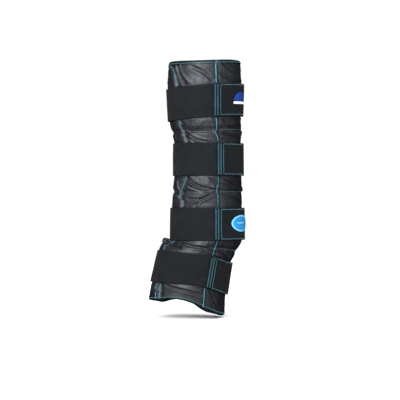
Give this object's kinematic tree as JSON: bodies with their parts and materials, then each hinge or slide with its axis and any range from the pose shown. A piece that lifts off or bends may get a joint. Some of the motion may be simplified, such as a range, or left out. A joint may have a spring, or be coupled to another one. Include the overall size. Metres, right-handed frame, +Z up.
{
  "type": "cold compression leg wrap",
  "caption": "Tall padded cold wrap that closes round a horse's leg, with gel packs inside, wide elastic straps and hook tabs that peel open.",
  "frame": {"origin": "on the axis of the leg that the wrap closes round, 203 mm below the top of the lining", "axes": "+Z up the leg along the bore of the lining, -Y the front, +X the side that the hook tabs close towards"},
  "size_m": [0.2184, 0.171, 0.562],
  "materials": {
    "cover_nylon": "coated nylon, satin",
    "lining_fleece": "brushed knit, matt",
    "binding_tape": "folded woven tape, satin",
    "elastic_web": "ribbed elastic, matt",
    "junction_tape": "coated tape, satin",
    "tab_fabric": "bonded nylon, satin",
    "hook_tape": "moulded hook, matt",
    "loop_tape": "brushed loop, matt",
    "gel_pack": "soft gel in film, satin",
    "dome_badge": "soft moulded badge, gloss",
    "oval_badge": "soft moulded badge, gloss"
  },
  "bodies": {
    "right_half": {"edge_binding_right": "binding_tape", "gel_pack_right_row1_col1": "gel_pack", "gel_pack_right_row1_col2": "gel_pack", "gel_pack_right_row1_col3": "gel_pack", "gel_pack_right_row2_col1": "gel_pack", "gel_pack_right_row2_col2": "gel_pack", "gel_pack_right_row2_col3": "gel_pack", "gel_pack_right_row3_col1": "gel_pack", "gel_pack_right_row3_col2": "gel_pack", "gel_pack_right_row3_col3": "gel_pack", "gel_pack_right_row4_col1": "gel_pack", "gel_pack_right_row4_col2": "gel_pack", "gel_pack_right_row4_col3": "gel_pack", "hem_binding_right": "binding_tape", "lining_right": "lining_fleece", "loop_patch_1": "loop_tape", "loop_patch_2": "loop_tape", "loop_patch_3": "loop_tape", "loop_patch_4": "loop_tape", "outer_cover_right": "cover_nylon", "top_binding_right": "binding_tape"},
    "left_half": {"edge_binding_left": "binding_tape", "elastic_strap_1": "elastic_web", "elastic_strap_2": "elastic_web", "elastic_strap_3": "elastic_web", "elastic_strap_4": "elastic_web", "gel_pack_left_row1_col1": "gel_pack", "gel_pack_left_row1_col2": "gel_pack", "gel_pack_left_row1_col3": "gel_pack", "gel_pack_left_row2_col1": "gel_pack", "gel_pack_left_row2_col2": "gel_pack", "gel_pack_left_row2_col3": "gel_pack", "gel_pack_left_row3_col1": "gel_pack", "gel_pack_left_row3_col2": "gel_pack", "gel_pack_left_row3_col3": "gel_pack", "gel_pack_left_row4_col1": "gel_pack", "gel_pack_left_row4_col2": "gel_pack", "gel_pack_left_row4_col3": "gel_pack", "hem_binding_left": "binding_tape", "lining_left": "lining_fleece", "outer_cover_left": "cover_nylon", "top_binding_left": "binding_tape"},
    "strip_1": {"junction_strip_1": "junction_tape"},
    "tab_1": {"dome_badge": "dome_badge", "hook_pad_1": "hook_tape", "hook_tab_1": "tab_fabric"},
    "strip_2": {"junction_strip_2": "junction_tape"},
    "tab_2": {"hook_pad_2": "hook_tape", "hook_tab_2": "tab_fabric"},
    "strip_3": {"junction_strip_3": "junction_tape"},
    "tab_3": {"hook_pad_3": "hook_tape", "hook_tab_3": "tab_fabric", "oval_badge": "oval_badge"},
    "strip_4": {"junction_strip_4": "junction_tape"},
    "tab_4": {"hook_pad_4": "hook_tape", "hook_tab_4": "tab_fabric"}
  },
  "joints": [
    {"name": "wrap_open", "type": "hinge", "parent": "right_half", "child": "left_half", "pos_m": [-0.04, 0.0845, 0], "axis": [-0.0807, 0, -0.9967], "range_deg": [0, 70]},
    {"name": "strap_1_follow", "type": "hinge", "parent": "left_half", "child": "strip_1", "pos_m": [0.01485, -0.08299, 0.11428], "axis": [0.005, 0.0418, -0.9991], "range_deg": [0, 88]},
    {"name": "tab_1_peel", "type": "hinge", "parent": "strip_1", "child": "tab_1", "pos_m": [0.02765, -0.08029, 0.11518], "axis": [-0.0012, 0.0399, -0.9992], "range_deg": [0, 60]},
    {"name": "strap_2_follow", "type": "hinge", "parent": "left_half", "child": "strip_2", "pos_m": [0.02259, -0.07576, -0.0115], "axis": [0.0018, -0.0068, -1], "range_deg": [0, 88]},
    {"name": "tab_2_peel", "type": "hinge", "parent": "strip_2", "child": "tab_2", "pos_m": [0.03434, -0.07295, -0.0115], "axis": [0.0028, -0.0065, -1], "range_deg": [0, 60]},
    {"name": "strap_3_follow", "type": "hinge", "parent": "left_half", "child": "strip_3", "pos_m": [0.01674, -0.08098, -0.152], "axis": [0.0027, -0.014, -0.9999], "range_deg": [0, 88]},
    {"name": "tab_3_peel", "type": "hinge", "parent": "strip_3", "child": "tab_3", "pos_m": [0.02927, -0.07873, -0.152], "axis": [0.0048, -0.0134, -0.9999], "range_deg": [0, 60]},
    {"name": "strap_4_follow", "type": "hinge", "parent": "left_half", "child": "strip_4", "pos_m": [0.0018, -0.07811, -0.26373], "axis": [-0.1741, -0.0386, -0.984], "range_deg": [0, 105.5]},
    {"name": "tab_4_peel", "type": "hinge", "parent": "strip_4", "child": "tab_4", "pos_m": [0.01366, -0.07288, -0.26615], "axis": [-0.1685, -0.0355, -0.9851], "range_deg": [0, 60]}
  ],
  "couplings": [
    {"joint": "strap_1_follow", "follows": "wrap_open", "ratio": 1.25},
    {"joint": "strap_2_follow", "follows": "wrap_open", "ratio": 1.25},
    {"joint": "strap_3_follow", "follows": "wrap_open", "ratio": 1.25},
    {"joint": "strap_4_follow", "follows": "wrap_open", "ratio": 1.5}
  ]
}
